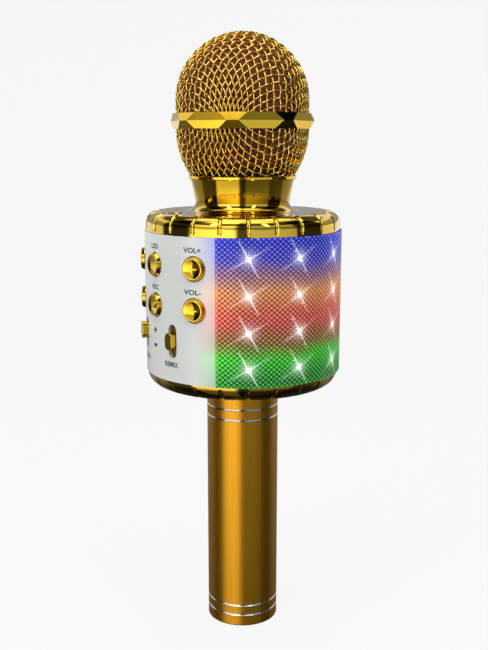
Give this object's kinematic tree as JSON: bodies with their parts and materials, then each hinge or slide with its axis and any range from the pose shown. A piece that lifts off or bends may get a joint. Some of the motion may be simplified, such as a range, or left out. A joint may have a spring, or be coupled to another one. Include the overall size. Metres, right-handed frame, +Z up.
{
  "type": "toy microphone",
  "caption": "Karaoke toy microphone: woven-wire head on a lit speaker drum with a curved button panel, on a slim round metal handle.",
  "frame": {"origin": "centre of the flat end face of the handle, on the microphone's axis", "axes": "+Z up the microphone's axis towards the head; -Y out of the middle of the control panel; +X to the right as the panel is faced"},
  "size_m": [0.0806, 0.0816, 0.2455],
  "materials": {
    "handle_aluminium": "satin anodised orange gold",
    "gold_plated_plastic": "bright vacuum-plated gold chrome over moulded plastic",
    "gold_grille": "perforated, satin gold",
    "gold_wire": "woven wire cloth, gold plated",
    "white_plastic": "semi-gloss white",
    "milky_plastic": "milky translucent",
    "light_package": "clear resin over coloured chips",
    "light_board": "white solder mask",
    "circuit_board": "green solder mask",
    "chip_epoxy": "matt black epoxy",
    "frame_plastic": "moulded black",
    "dark_plastic": "moulded black",
    "cell_sleeve": "shrink sleeve",
    "nickel": "nickel plated",
    "lead_jacket": "flexible insulation",
    "basket_steel": "black painted pressing",
    "magnet": "dark ferrite and zinc-plated yoke",
    "cone_paper": "treated black paper",
    "screw_steel": "zinc plated",
    "foam": "open-cell foam, dark red brown",
    "soft_rubber": "soft black",
    "capsule_metal": "satin"
  },
  "bodies": {
    "microphone": {"audio_jack": "dark_plastic", "battery_cell": "cell_sleeve", "battery_contacts": "nickel", "battery_cradle": "dark_plastic", "battery_lead": "lead_jacket", "board_chips": "chip_epoxy", "bottom_cover": "gold_plated_plastic", "bottom_cover_screws": "screw_steel", "capsule_cup": "soft_rubber", "capsule_post": "frame_plastic", "card_reader": "nickel", "charging_port": "nickel", "control_panel": "white_plastic", "drum_frame": "frame_plastic", "echo_slide_control": "nickel", "end_cap": "handle_aluminium", "handle_tube": "handle_aluminium", "light_diffuser": "milky_plastic", "light_strips": "light_board", "lights": "light_package", "main_board": "circuit_board", "microphone_capsule": "capsule_metal", "microphone_lead": "lead_jacket", "panel_screws": "screw_steel", "remix_slide_control": "nickel", "side_board_left": "circuit_board", "side_board_right": "circuit_board", "speaker_basket_left": "basket_steel", "speaker_basket_right": "basket_steel", "speaker_cone_left": "cone_paper", "speaker_cone_right": "cone_paper", "speaker_grille": "gold_grille", "speaker_leads": "lead_jacket", "speaker_magnet_left": "magnet", "speaker_magnet_right": "magnet", "speaker_screws": "screw_steel", "tact_switches": "dark_plastic", "top_cover": "gold_plated_plastic", "top_cover_screws": "screw_steel"},
    "head": {"head_collar": "gold_plated_plastic", "lower_mesh": "gold_wire", "upper_mesh": "gold_wire", "head_band": "gold_plated_plastic", "foam_retainer": "dark_plastic", "foam_liner": "foam"},
    "button_mode": {"button_mode": "gold_plated_plastic"},
    "button_play": {"button_play": "gold_plated_plastic"},
    "button_lights": {"button_lights": "gold_plated_plastic"},
    "button_record": {"button_record": "gold_plated_plastic"},
    "button_volume_up": {"button_volume_up": "gold_plated_plastic"},
    "button_volume_down": {"button_volume_down": "gold_plated_plastic"},
    "echo_knob": {"echo_knob": "gold_plated_plastic"},
    "remix_knob": {"remix_knob": "gold_plated_plastic"}
  },
  "joints": [
    {"name": "head_lift", "type": "slide", "parent": "microphone", "child": "head", "axis": [0, 0, 1], "range_m": [0, 0.05]},
    {"name": "button_mode_press", "type": "slide", "parent": "microphone", "child": "button_mode", "axis": [0.518, 0.8554, 0], "range_m": [0, 0.0006], "stiffness_N_per_m": 900, "springref_m": -0.0003},
    {"name": "button_play_press", "type": "slide", "parent": "microphone", "child": "button_play", "axis": [0.518, 0.8554, 0], "range_m": [0, 0.0006], "stiffness_N_per_m": 900, "springref_m": -0.0003},
    {"name": "button_lights_press", "type": "slide", "parent": "microphone", "child": "button_lights", "axis": [0, 1, 0], "range_m": [0, 0.0006], "stiffness_N_per_m": 900, "springref_m": -0.0003},
    {"name": "button_record_press", "type": "slide", "parent": "microphone", "child": "button_record", "axis": [0, 1, 0], "range_m": [0, 0.0006], "stiffness_N_per_m": 900, "springref_m": -0.0003},
    {"name": "button_volume_up_press", "type": "slide", "parent": "microphone", "child": "button_volume_up", "axis": [-0.518, 0.8554, 0], "range_m": [0, 0.0006], "stiffness_N_per_m": 900, "springref_m": -0.0003},
    {"name": "button_volume_down_press", "type": "slide", "parent": "microphone", "child": "button_volume_down", "axis": [-0.518, 0.8554, 0], "range_m": [0, 0.0006], "stiffness_N_per_m": 900, "springref_m": -0.0003},
    {"name": "echo_slide", "type": "slide", "parent": "microphone", "child": "echo_knob", "axis": [0, 0, 1], "range_m": [-0.0044, 0.0018]},
    {"name": "remix_slide", "type": "slide", "parent": "microphone", "child": "remix_knob", "axis": [0, 0, 1], "range_m": [-0.0033, 0.0029]}
  ]
}
